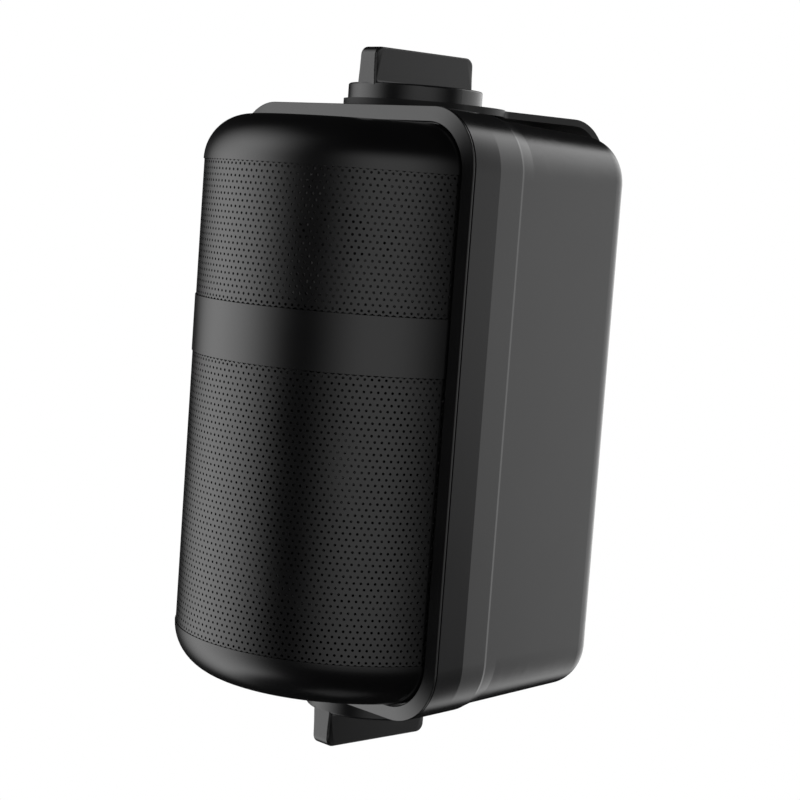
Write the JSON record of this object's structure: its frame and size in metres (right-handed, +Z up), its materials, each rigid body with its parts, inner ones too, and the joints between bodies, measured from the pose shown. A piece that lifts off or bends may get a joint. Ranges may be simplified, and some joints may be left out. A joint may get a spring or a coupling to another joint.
{
  "type": "wall speaker",
  "caption": "Compact two-way wall speaker: bowed perforated grille on a moulded cabinet, clamped by hand knobs in a swivelling U-shaped wall bracket.",
  "frame": {"origin": "middle of the bracket's wall face, between its two screw holes", "axes": "+Z up, +Y into the wall, the grille faces -Y, +X to the right seen from the front"},
  "size_m": [0.1224, 0.1588, 0.2408],
  "materials": {
    "cabinet_plastic": "fine moulded grain, satin black",
    "bezel_plastic": "fine moulded grain, satin black",
    "grille_steel": "satin black coating on perforated sheet",
    "bracket_steel": "black powder coat",
    "knob_plastic": "satin black",
    "gasket_foam": "closed-cell foam",
    "pad_rubber": "plain rubber",
    "insert_brass": "turned",
    "stud_steel": "zinc plated",
    "screw_steel": "black zinc",
    "basket_steel": "stove black",
    "surround_rubber": "moulded rubber",
    "cone_paper": "dyed pulp",
    "cap_film": "coated pulp dome",
    "coil_copper": "enamelled copper",
    "spider_cloth": "resin-stiffened cloth",
    "plate_steel": "zinc plated",
    "magnet_ferrite": "sintered ferrite",
    "faceplate_plastic": "moulded",
    "dome_film": "coated film dome",
    "board_laminate": "coated laminate",
    "capacitor_film": "wrapped film",
    "terminal_plastic": "moulded",
    "contact_brass": "tinned",
    "lever_black": "moulded",
    "lever_red": "moulded"
  },
  "bodies": {
    "bracket": {"wall_bracket": "bracket_steel"},
    "speaker": {"cabinet": "cabinet_plastic", "front_baffle": "bezel_plastic", "baffle_gasket": "gasket_foam", "grille": "grille_steel", "top_friction_pad": "pad_rubber", "bottom_friction_pad": "pad_rubber", "top_thread_insert": "insert_brass", "bottom_thread_insert": "insert_brass", "woofer_basket": "basket_steel", "woofer_surround": "surround_rubber", "woofer_spider": "spider_cloth", "woofer_top_plate": "plate_steel", "woofer_magnet": "magnet_ferrite", "woofer_yoke": "plate_steel", "tweeter_faceplate": "faceplate_plastic", "tweeter_diaphragm": "dome_film", "tweeter_voice_coil": "coil_copper", "tweeter_cup": "plate_steel", "tweeter_magnet": "magnet_ferrite", "tweeter_pole_plate": "plate_steel", "crossover_board": "board_laminate", "crossover_capacitor": "capacitor_film", "crossover_inductor": "coil_copper", "terminal_cup": "terminal_plastic", "terminal_contacts": "contact_brass", "baffle_screws": "screw_steel", "woofer_screws": "screw_steel", "tweeter_screws": "screw_steel", "crossover_screws": "screw_steel", "terminal_screws": "screw_steel"},
    "knob_top": {"top_knob": "knob_plastic", "top_knob_stud": "stud_steel"},
    "knob_bottom": {"bottom_knob": "knob_plastic", "bottom_knob_stud": "stud_steel"},
    "woofer_piston": {"woofer_cone": "cone_paper", "woofer_dust_cap": "cap_film", "woofer_voice_coil": "coil_copper"},
    "lever_black": {"terminal_lever_black": "lever_black"},
    "lever_red": {"terminal_lever_red": "lever_red"}
  },
  "joints": [
    {"name": "speaker_swivel", "type": "hinge", "parent": "bracket", "child": "speaker", "pos_m": [0, -0.0845, 0], "axis": [0, 0, 1], "range_deg": [-90, 90]},
    {"name": "top_knob_turn", "type": "hinge", "parent": "speaker", "child": "knob_top", "pos_m": [0, -0.0845, 0], "axis": [0, 0, 1], "continuous": true},
    {"name": "bottom_knob_turn", "type": "hinge", "parent": "speaker", "child": "knob_bottom", "pos_m": [0, -0.0845, 0], "axis": [0, 0, -1], "continuous": true},
    {"name": "woofer_stroke", "type": "slide", "parent": "speaker", "child": "woofer_piston", "axis": [0, -1, 0], "range_m": [-0.0025, 0.0025], "stiffness_N_per_m": 900, "deforming": ["woofer_surround", "woofer_spider"]},
    {"name": "lever_black_press", "type": "hinge", "parent": "speaker", "child": "lever_black", "pos_m": [-0.01, -0.0385, -0.018], "axis": [1, 0, 0], "range_deg": [-20, 0], "stiffness_Nm_per_rad": 0.05},
    {"name": "lever_red_press", "type": "hinge", "parent": "speaker", "child": "lever_red", "pos_m": [0.01, -0.0385, -0.018], "axis": [1, 0, 0], "range_deg": [-20, 0], "stiffness_Nm_per_rad": 0.05}
  ]
}
